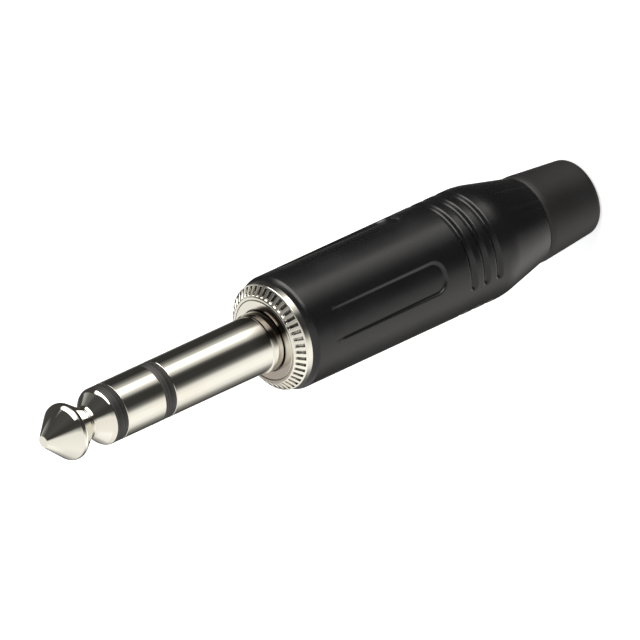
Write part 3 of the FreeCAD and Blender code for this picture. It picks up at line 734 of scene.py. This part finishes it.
@dataclass
class ToothedFlange:
    """The ring round the disc, whose bevel is cut into teeth, on its threaded neck."""

    disc: Disc = Disc()
    gap: float = 0.02
    neck_bore: float = 2.92
    neck_radius: float = 4.5
    neck_bevel: float = 0.35
    knurl_radius: float = 5.94
    bevel_inner_radius: float = 4.75
    bevel_height: float = 0.98
    notch_inner_radius: float = 4.9
    notch_outer_radius: float = 5.79
    notch_depth: float = 0.42
    notch_count: int = 45
    # Facets of a tooth with its notch, and of the notch alone.
    columns: int = 8
    notch_columns: int = 4
    # A face whose normal rises more than this belongs to the bevel.
    bevel_rise: float = 0.3
    edge_rounding: float = 0.035
    # Edges sharper than this are rounded, in degrees.
    edge_angle: float = 35.0
    thread_pitch: float = 0.75
    thread_radius: float = 4.88
    thread_crest_rounding: float = 0.06
    # How deep the ridge stands in the neck, and half its foot as a share of the pitch.
    thread_root_depth: float = 0.04
    thread_foot: float = 0.42
    thread_steps: int = 64
    thread_smooth_angle: float = 40.0

    def bevel_at(self, radius: float) -> float:
        """Give the bevel's height at a radius, both in mm."""
        slope = self.bevel_height / (self.knurl_radius - self.bevel_inner_radius)
        return ends_of("knurled_body")[1] - (radius - self.bevel_inner_radius) * slope

    def build_ring(self) -> Object:
        """Turn the ring and sink the notches between its teeth.

        Returns:
            The toothed ring on its neck.
        """
        neck_back, face = ends_of("knurled_body")
        front = ends_of("shell")[1]
        seat = self.disc.radius + self.gap
        disc_back = face - self.disc.thickness
        piece = draw_outline("toothed_flange", [
            Corner(self.neck_bore, neck_back),
            Corner(self.neck_radius - self.neck_bevel, neck_back),
            Corner(self.neck_radius, neck_back + self.neck_bevel),
            Corner(self.neck_radius, front),
            Corner(self.knurl_radius, front),
            Corner(self.knurl_radius, face - self.bevel_height),
            Corner(self.notch_outer_radius, self.bevel_at(self.notch_outer_radius)),
            Corner(self.notch_inner_radius, self.bevel_at(self.notch_inner_radius)),
            Corner(self.bevel_inner_radius, face),
            Corner(seat + self.disc.bevel, face),
            Corner(seat, face - self.disc.bevel),
            Corner(seat, disc_back),
            Corner(self.neck_bore, disc_back),
        ])
        spin_outline(piece, self.notch_count * self.columns)
        self.sink_notches(piece)
        apply_modifier(piece, "BEVEL", {
            "width": self.edge_rounding * MM, "segments": 2, "limit_method": "ANGLE",
            "angle_limit": math.radians(self.edge_angle), "harden_normals": False,
        })
        smooth_faces(piece)
        return piece

    def sink_notches(self, piece: Object) -> None:
        """Push the bevel down between the teeth.

        Args:
            piece: the turned ring.
        """
        pitch = math.tau / self.notch_count
        share = self.notch_columns / self.columns
        low, high = self.bevel_at(self.notch_outer_radius), self.bevel_at(self.notch_inner_radius)

        def on_notch(face: bmesh.types.BMFace) -> bool:
            """Say whether a face is part of the bevel where a notch goes."""
            centre = face.calc_center_median()
            return (face.normal.z > self.bevel_rise and low < centre.z / MM < high
                    and (math.atan2(centre.y, centre.x) / pitch) % 1.0 < share)

        bpy.context.view_layer.objects.active = piece
        bpy.ops.object.mode_set(mode="EDIT")
        bpy.ops.mesh.select_mode(type="FACE")
        bpy.ops.mesh.select_all(action="DESELECT")
        mesh = bmesh.from_edit_mesh(piece.data)
        for face in filter(on_notch, mesh.faces):
            face.select = True
        bmesh.update_edit_mesh(piece.data)
        sink = Vector((0, 0, -self.notch_depth * MM))
        bpy.ops.mesh.extrude_region_move(TRANSFORM_OT_translate={"value": sink})
        close_mesh()

    def build_thread(self) -> Object:
        """Wind the thread's ridge round the neck with the screw modifier.

        Returns:
            The ridge, closed at both ends.
        """
        neck_back = ends_of("knurled_body")[0]
        front = ends_of("shell")[1]
        start = neck_back + self.neck_bevel + self.thread_pitch / 2
        root = self.neck_radius - self.thread_root_depth
        half = self.thread_pitch * self.thread_foot
        piece = draw_outline("neck_thread", [
            Corner(root, start - half),
            Corner(self.thread_radius, start, self.thread_crest_rounding, steps=2),
            Corner(root, start + half),
        ])
        bpy.ops.object.mode_set(mode="OBJECT")
        apply_modifier(piece, "SCREW", {
            "axis": "Z", "angle": math.tau, "screw_offset": self.thread_pitch * MM,
            "iterations": int((front - start) / self.thread_pitch), "steps": self.thread_steps,
            "render_steps": self.thread_steps, "use_merge_vertices": True,
        })
        bpy.ops.object.mode_set(mode="EDIT")
        bpy.ops.mesh.select_mode(type="EDGE")
        bpy.ops.mesh.select_all(action="DESELECT")
        bpy.ops.mesh.select_non_manifold(
            extend=False, use_wire=False, use_multi_face=False, use_non_contiguous=False,
            use_verts=False,
        )
        bpy.ops.mesh.edge_face_add()
        close_mesh()
        bpy.ops.object.shade_smooth_by_angle(angle=math.radians(self.thread_smooth_angle))
        return piece

    def dress(self, finishes: Finishes) -> None:
        """Build the flange's pieces and plate them."""
        place_piece(self.build_ring(), Body.INSERT, "knurled_body", finishes.cut_nickel)
        place_piece(self.build_thread(), Body.INSERT, None, finishes.nickel)


@dataclass
class Shell:
    """Cast shell: barrel with four shallow panels and two sets of grips, a taper and a nose."""

    barrel_radius: float = 6.35
    back_radius: float = 4.84
    taper_length: float = 6.4
    taper_rounding: float = 8.0
    rim_radius: float = 5.95
    nose_length: float = 0.52
    nose_rounding: float = 0.7
    thread_bore: float = 4.96
    thread_depth: float = 5.2
    thread_bevel: float = 0.3
    cavity_radius: float = 4.75
    seat_radius: float = 4.1
    throat_radius: float = 3.6
    throat_length: float = 1.65
    throat_rounding: float = 0.1
    jaw_front: float = 17.6
    clamp_back: float = 11.4
    edge_rounding: float = 0.08
    columns: int = 360
    # Points added to the barrel's outline: over the grips, up to the panels, round their back
    # corners, along them, and where they run out.
    row_cuts: tuple[int, ...] = (104, 4, 30, 14, 16)
    # How far the panels' finer rows go past their corners, and past their front.
    row_margin: float = 0.3
    front_margin: float = 0.1
    # Points that lie less than this under the barrel's surface are pressed in with it.
    skin: float = 0.01
    smooth_angle: float = 60.0
    panel_count: int = 4
    panel_turn: float = 45.0
    panel_angle: float = 34.0
    panel_back: float = 23.7
    panel_length: float = 16.2
    panel_depth: float = 0.32
    panel_front_depth: float = 0.14
    panel_run_out: float = 1.7
    panel_corner: float = 1.5
    panel_wall: float = 0.26
    grip_height: float = 16.58
    grip_pitch: float = 1.8
    grip_count: int = 3
    grip_reach: float = 0.55
    grip_depth: float = 0.3
    grip_angle: float = 141.0
    grip_margin: float = 0.6

    def build(self) -> Object:
        """Turn the shell, then press its panels and grips in.

        Returns:
            The shell.
        """
        back, front = ends_of("shell")
        panel_front = self.panel_back + self.panel_length
        barrel = [Corner(self.barrel_radius, height) for height in (
            self.grip_height - self.grip_margin,
            self.grip_height + self.grip_pitch * (self.grip_count - 1) + self.grip_margin,
            self.panel_back - self.row_margin,
            self.panel_back + self.panel_corner + self.row_margin,
            panel_front - self.panel_run_out - self.row_margin,
            panel_front + self.front_margin,
        )]
        thread_end = front - self.thread_depth
        piece = draw_outline("painted_shell", [
            Corner(self.throat_radius, back, self.throat_rounding, steps=2),
            Corner(self.back_radius, back, self.edge_rounding, steps=3),
            Corner(self.barrel_radius, back + self.taper_length, self.taper_rounding, steps=10),
            *barrel,
            Corner(self.barrel_radius, front - self.nose_length, self.nose_rounding, steps=8),
            Corner(self.rim_radius, front, self.edge_rounding, steps=3),
            Corner(self.thread_bore + self.thread_bevel, front),
            Corner(self.thread_bore, front - self.thread_bevel),
            Corner(self.thread_bore, thread_end),
            Corner(self.cavity_radius, thread_end),
            Corner(self.cavity_radius, self.jaw_front),
            Corner(self.seat_radius, self.clamp_back),
            Corner(self.seat_radius, back + self.throat_length),
            Corner(self.throat_radius, back + self.throat_length),
        ])
        for low, high, cuts in zip(barrel, barrel[1:], self.row_cuts):
            select_points(piece, low.place, high.place)
            bpy.ops.mesh.subdivide(number_cuts=cuts)
        spin_outline(piece, self.columns)
        self.press(piece)
        return piece

    def panel_sink(self, angle: float, height: float) -> float:
        """Give the depth of the panels at a place on the barrel.

        Args:
            angle: angle about the axis from +X, in degrees.
            height: height above the boot's end in mm.

        Returns:
            The depth in mm.
        """
        pitch = 360 / self.panel_count
        off = (angle - self.panel_turn + pitch / 2) % pitch - pitch / 2
        side = math.radians(self.panel_angle / 2 - abs(off)) * self.barrel_radius
        up = height - self.panel_back
        left = self.panel_length - self.panel_run_out - up
        if left >= 0:
            share = up / (self.panel_length - self.panel_run_out)
            floor = self.panel_depth + (self.panel_front_depth - self.panel_depth) * share
        else:
            floor = self.panel_front_depth * (1 + left / self.panel_run_out)
        corner = self.panel_corner
        if side < corner and up < corner:
            edge = corner - math.hypot(corner - side, corner - up)
        else:
            edge = min(side, up)
        share = min(max(edge / self.panel_wall, 0.0), 1.0)
        return max(floor, 0.0) * share * share * (3 - 2 * share)

    def grip_sink(self, angle: float, height: float) -> float:
        """Give the depth of the grips at a place on the barrel.

        Args:
            angle: angle about the axis from +X, in degrees.
            height: height above the boot's end in mm.

        Returns:
            The depth in mm.
        """
        past = max(abs(angle % 180 - 90) - self.grip_angle / 2, 0.0)
        along = math.radians(past) * self.barrel_radius
        for index in range(self.grip_count):
            up = height - self.grip_height - self.grip_pitch * index
            reach = math.hypot(along, up)
            if reach < self.grip_reach:
                return self.grip_depth * (1 + math.cos(math.pi * reach / self.grip_reach)) / 2
        return 0.0

    def press(self, piece: Object) -> None:
        """Sink the panels and grips by the weight that each outer point is given.

        Args:
            piece: the turned shell.
        """
        group = piece.vertex_groups.new(name="sink")
        deepest = max(self.panel_depth, self.grip_depth)
        outside = (self.barrel_radius - self.skin) * MM
        for point in piece.data.vertices:
            if math.hypot(point.co.x, point.co.y) < outside:
                continue
            angle = math.degrees(math.atan2(point.co.y, point.co.x))
            height = point.co.z / MM
            sink = self.panel_sink(angle, height) + self.grip_sink(angle, height)
            if sink > 0:
                group.add([point.index], sink / deepest, "REPLACE")
        apply_modifier(piece, "DISPLACE", {
            "strength": -deepest * MM, "mid_level": 0.0, "direction": "NORMAL",
            "vertex_group": group.name,
        })
        piece.vertex_groups.clear()
        bpy.ops.object.shade_smooth_by_angle(angle=math.radians(self.smooth_angle))

    def dress(self, finishes: Finishes) -> None:
        """Build the shell and paint it."""
        place_piece(self.build(), Body.SHELL, "shell", finishes.casting)


@dataclass
class Boot:
    """Rubber boot: tapered outside with a lip, and a flange that snaps inside the shell."""

    end_radius: float = 4.2
    end_rounding: float = 0.8
    lip_radius: float = 4.9
    lip_height: float = 0.75
    lip_rounding: float = 0.3
    neck_radius: float = 3.55
    flange_radius: float = 4.05
    flange_back: float = 9.65
    flange_bevel: float = 0.4
    cable_bore: float = 2.9
    mouth_rounding: float = 0.25

    def build(self) -> Object:
        """Turn the boot as it is moulded.

        Returns:
            The boot.
        """
        back, front = ends_of("boot")
        shell_back = ends_of("shell")[0]
        return turn_piece("rubber_boot", [
            Corner(self.cable_bore, back, self.mouth_rounding),
            Corner(self.end_radius, back, self.end_rounding, steps=10),
            Corner(self.lip_radius, shell_back - self.lip_height, self.lip_rounding, steps=5),
            Corner(self.lip_radius, shell_back, self.lip_rounding, steps=5),
            Corner(self.neck_radius, shell_back),
            Corner(self.neck_radius, self.flange_back),
            Corner(self.flange_radius, self.flange_back),
            Corner(self.flange_radius, front - self.flange_bevel),
            Corner(self.flange_radius - self.flange_bevel, front),
            Corner(self.cable_bore, front),
        ])

    def dress(self, finishes: Finishes) -> None:
        """Build the boot in rubber."""
        place_piece(self.build(), Body.SHELL, "boot", finishes.rubber)


class Inside:
    """Pieces inside the shell, whose solids have the right shape and get their finishes."""

    def dress(self, finishes: Finishes) -> None:
        """Give each inner solid its material.

        Args:
            finishes: the plug's materials.
        """
        for material, nodes in (
            (finishes.insulator, ("tip_tube", "ring_tube", "terminal_spacer")),
            (finishes.tinned, ("earth_terminal", "ring_terminal", "tip_terminal")),
            (finishes.base, ("rear_insulator",)),
            (finishes.liner, ("insulating_liner",)),
            (finishes.clamp, ("cable_clamp",)),
        ):
            for node in nodes:
                dress(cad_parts[node], material)
                LOG.info("%s keeps its solid's shape", node)


def direction(azimuth: float, elevation: float) -> Vector:
    """Give the way from the plug at an azimuth from -Y towards +X and an elevation, in degrees."""
    turn, lift = math.radians(azimuth), math.radians(elevation)
    level = math.cos(lift)
    return Vector((math.sin(turn) * level, -math.cos(turn) * level, math.sin(lift)))


@dataclass
class Camera:
    """The camera at the photograph's angle, rolled so that the tip points down to the left."""

    azimuth: float = -28.5
    elevation: float = 34.75
    roll: float = 114.83
    # Distance and near limit in metres, and width of the view in mm.
    distance: float = 3.0
    clip_start: float = 0.05
    view_width: float = 67.37
    aim_height: float = 32.29
    # Where that point of the axis lies in the picture, from its centre, right and up, in mm.
    aim_right: float = 3.054
    aim_up: float = 2.033
    sensor: float = 36.0

    def build(self) -> None:
        """Set up the camera and make it the scene's."""
        toward = direction(self.azimuth, self.elevation)
        level = toward.to_track_quat("Z", "Y").to_matrix()
        turned = level @ Matrix.Rotation(-math.radians(self.roll), 3, "Z")
        offset = turned @ Vector((self.aim_right, self.aim_up, 0)) * MM
        aim = Vector((0, 0, self.aim_height * MM)) - offset
        data = bpy.data.cameras.new("view")
        data.sensor_width = self.sensor
        data.lens = self.sensor * self.distance / (self.view_width * MM)
        data.clip_start = self.clip_start
        camera = bpy.data.objects.new("view", data)
        bpy.context.scene.collection.objects.link(camera)
        camera.matrix_world = Matrix.Translation(aim + toward * self.distance) @ turned.to_4x4()
        bpy.context.scene.camera = camera


@dataclass(frozen=True)
class SoftLamp:
    """A square soft lamp that faces the plug."""

    name: str
    # Angle from the camera's side towards the photograph's lower edge, and height, in degrees.
    angle: float
    lift: float
    # Side of its face in metres, and power in watts.
    size: float
    power: float
    colour: str
    # Distance from the point that it faces, and that point's height, in metres.
    distance: float = 0.8
    aim_height: float = 0.03

    def build(self, heading: float) -> None:
        """Hang the lamp.

        Args:
            heading: the camera's azimuth in degrees.
        """
        data = bpy.data.lights.new(self.name, "AREA")
        data.shape = "SQUARE"
        data.size = self.size
        data.energy = self.power
        data.color = linear_colour(self.colour)[:3]
        lamp = bpy.data.objects.new(self.name, data)
        bpy.context.scene.collection.objects.link(lamp)
        way = direction(heading - self.angle, self.lift)
        lamp.location = Vector((0, 0, self.aim_height)) + way * self.distance
        lamp.rotation_euler = way.to_track_quat("Z", "Y").to_euler()
        lamp.visible_glossy = False


@dataclass
class Studio:
    """A pale floor, two soft lamps, and pale walls with dark openings that the metal mirrors."""

    heading: float
    floor_size: float = 4.0
    floor_glow: float = 0.56
    paper: str = "#f4f4f4"
    paper_roughness: float = 0.9
    # Light of the room by direction: angle from the camera's side in degrees, level.
    ground: Levels = (
        (-180, 0.06), (-90, 0.05), (-40, 0.03), (25, 0.05), (50, 0.6), (77, 1.35), (100, 1.6),
        (113, 1.2), (125, 0.7), (138, 0.35), (155, 0.1), (180, 0.06),
    )
    low_walls: Levels = (
        (-180, 0.3), (-152, 0.1), (-142, 0.04), (-100, 0.04), (-86, 0.19), (-69, 0.7), (-58, 2.3),
        (-45, 1.7), (-33, 0.85), (-19, 0.1), (-10, 0.045), (12, 0.045), (20, 0.09), (29, 0.24),
        (43, 1.0), (60, 1.2), (80, 1.2), (100, 0.92), (112, 0.5), (122, 0.28), (134, 0.17),
        (150, 0.05), (180, 0.25),
    )
    high_walls: Levels = (
        (-180, 0.07), (-110, 0.06), (-50, 0.08), (-15, 0.045), (4, 0.06), (14, 0.5), (26, 1.0),
        (100, 1.1), (135, 0.9), (150, 0.5), (165, 0.2), (180, 0.07),
    )
    ceiling: Levels = (
        (-180, 1.0), (-150, 0.95), (-132, 0.4), (-118, 0.16), (-97, 0.13), (-74, 0.26),
        (-42, 0.42), (0, 0.7), (42, 0.9), (74, 1.1), (97, 1.3), (150, 0.95), (180, 1.0),
    )
    # Sines of the height between which each row takes over from the one under it.
    low_walls_rise: tuple[float, float] = (-0.70, -0.60)
    high_walls_rise: tuple[float, float] = (-0.46, -0.26)
    ceiling_rise: tuple[float, float] = (0.575, 0.625)
    # How much lower the ceiling comes at the back of the room than over the camera.
    ceiling_lean: float = 0.7
    # A window in the wall: its light over the compass and over the height's sine.
    window_sides: Levels = ((-101, 0.0), (-93, 0.75), (-85, 1.0), (-34, 1.0), (-22, 0.0))
    window_rise: Levels = ((-0.50, 0.0), (-0.38, 1.6), (-0.24, 5.0), (0.29, 5.0), (0.43, 0.0))
    warm: str = "#fffdf7"
    white: str = "#ffffff"
    even_light: float = 0.5
    lamps: tuple[SoftLamp, ...] = (
        SoftLamp("key_lamp", -55, 55, 0.5, 4.4, "#fff9f2"),
        SoftLamp("fill_lamp", 80, 40, 0.7, 1.4, "#f4f7ff"),
    )

    def build_floor(self) -> None:
        """Lay the floor, which stays white to the camera and keeps the plug's shadow."""
        bpy.ops.object.select_all(action="DESELECT")
        bpy.ops.mesh.primitive_plane_add(size=self.floor_size)
        floor = bpy.context.active_object
        floor.name = "floor"
        # Matt white paper: it takes the plug's shadow and gives no highlight.
        material, tree, shader = new_material("white_paper")
        rays = add_node(tree, "ShaderNodeLightPath")
        glow = add_node(tree, "ShaderNodeMath", {"operation": "MULTIPLY", 1: self.floor_glow},
                        {0: rays.outputs["Is Camera Ray"]})
        set_node(tree, shader, {
            "Base Color": linear_colour(self.paper), "Roughness": self.paper_roughness,
            "Emission Color": linear_colour(self.white),
        }, {"Emission Strength": glow})
        dress(floor, material)
        floor.visible_glossy = False

    def build_walls(self) -> None:
        """Make the room: white to the camera, pale and dark walls to metal, even to all else."""
        world = bpy.data.worlds.new("studio")
        bpy.context.scene.world = world
        world.use_nodes = True
        tree = world.node_tree
        tree.nodes.clear()
        add = partial(add_node, tree)
        # The turn puts the camera's side on +Y, and angles grow from there towards +X.
        turned = add("ShaderNodeVectorRotate", {
            "rotation_type": "Z_AXIS", "Angle": math.pi - math.radians(self.heading),
        }, {"Vector": add("ShaderNodeTexCoord").outputs["Generated"]})
        parts = add("ShaderNodeSeparateXYZ", links={"Vector": turned})
        ahead, rise = parts.outputs["Y"], parts.outputs["Z"]
        angle = add("ShaderNodeMath", {"operation": "ARCTAN2"},
                    {0: parts.outputs["X"], 1: ahead})
        turn = add("ShaderNodeMapRange", {"From Min": -math.pi, "From Max": math.pi},
                   {"Value": angle})
        lean = add("ShaderNodeMath", {"operation": "MULTIPLY_ADD", 1: -self.ceiling_lean},
                   {0: ahead, 2: rise})
        level, low_walls, high_walls, ceiling, window_sides = (
            add("ShaderNodeValToRGB", {"stops": ramp_stops(row, -180, 180)}, {"Fac": turn})
            for row in (self.ground, self.low_walls, self.high_walls, self.ceiling,
                        self.window_sides)
        )
        for walls, height, (low, high) in (
            (low_walls, rise, self.low_walls_rise),
            (high_walls, rise, self.high_walls_rise),
            (ceiling, lean, self.ceiling_rise),
        ):
            share = add("ShaderNodeMapRange", {
                "interpolation_type": "SMOOTHSTEP", "From Min": low, "From Max": high,
            }, {"Value": height})
            level = add("ShaderNodeMix", {"data_type": "RGBA"},
                        {"Factor": share, "A": level, "B": walls})
        up = add("ShaderNodeMapRange", {"From Min": -1.0, "From Max": 1.0}, {"Value": rise})
        glow = add("ShaderNodeValToRGB", {"stops": ramp_stops(self.window_rise, -1, 1)},
                   {"Fac": up})
        window = add("ShaderNodeMath", {"operation": "MULTIPLY"}, {0: window_sides, 1: glow})
        level = add("ShaderNodeMix", {"data_type": "RGBA", "blend_type": "ADD", "Factor": 1.0},
                    {"A": level, "B": window})
        tint = add("ShaderNodeMix", {
            "data_type": "RGBA", "blend_type": "MULTIPLY", "Factor": 1.0,
            "B": linear_colour(self.warm),
        }, {"A": level})
        room = add("ShaderNodeBackground", links={"Color": tint})
        white, even = (
            add("ShaderNodeBackground",
                {"Color": linear_colour(self.white), "Strength": strength})
            for strength in (1.0, self.even_light)
        )
        rays = add("ShaderNodeLightPath").outputs
        mirrored = add("ShaderNodeMath", {"operation": "MAXIMUM"},
                       {0: rays["Is Glossy Ray"], 1: rays["Is Transmission Ray"]})
        unseen = add("ShaderNodeMixShader", links={0: mirrored, 1: even, 2: room})
        studio = add("ShaderNodeMixShader",
                     links={0: rays["Is Camera Ray"], 1: unseen, 2: white})
        add("ShaderNodeOutputWorld", links={"Surface": studio})

    def build(self) -> None:
        """Set the whole studio."""
        self.build_floor()
        self.build_walls()
        for lamp in self.lamps:
            lamp.build(self.heading)


def main() -> None:
    """Build and dress every piece, then the camera and the studio."""
    logging.basicConfig(level=logging.INFO, format="%(message)s")
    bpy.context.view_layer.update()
    finishes = Finishes()
    for part in (Stem(), ToothedFlange(), Shell(), Boot(), Inside()):
        part.dress(finishes)
        LOG.info("%s is built", type(part).__name__)
    camera = Camera()
    camera.build()
    Studio(camera.azimuth).build()
    bpy.context.scene.view_settings.view_transform = "Standard"


if __name__ == "__main__":
    main()
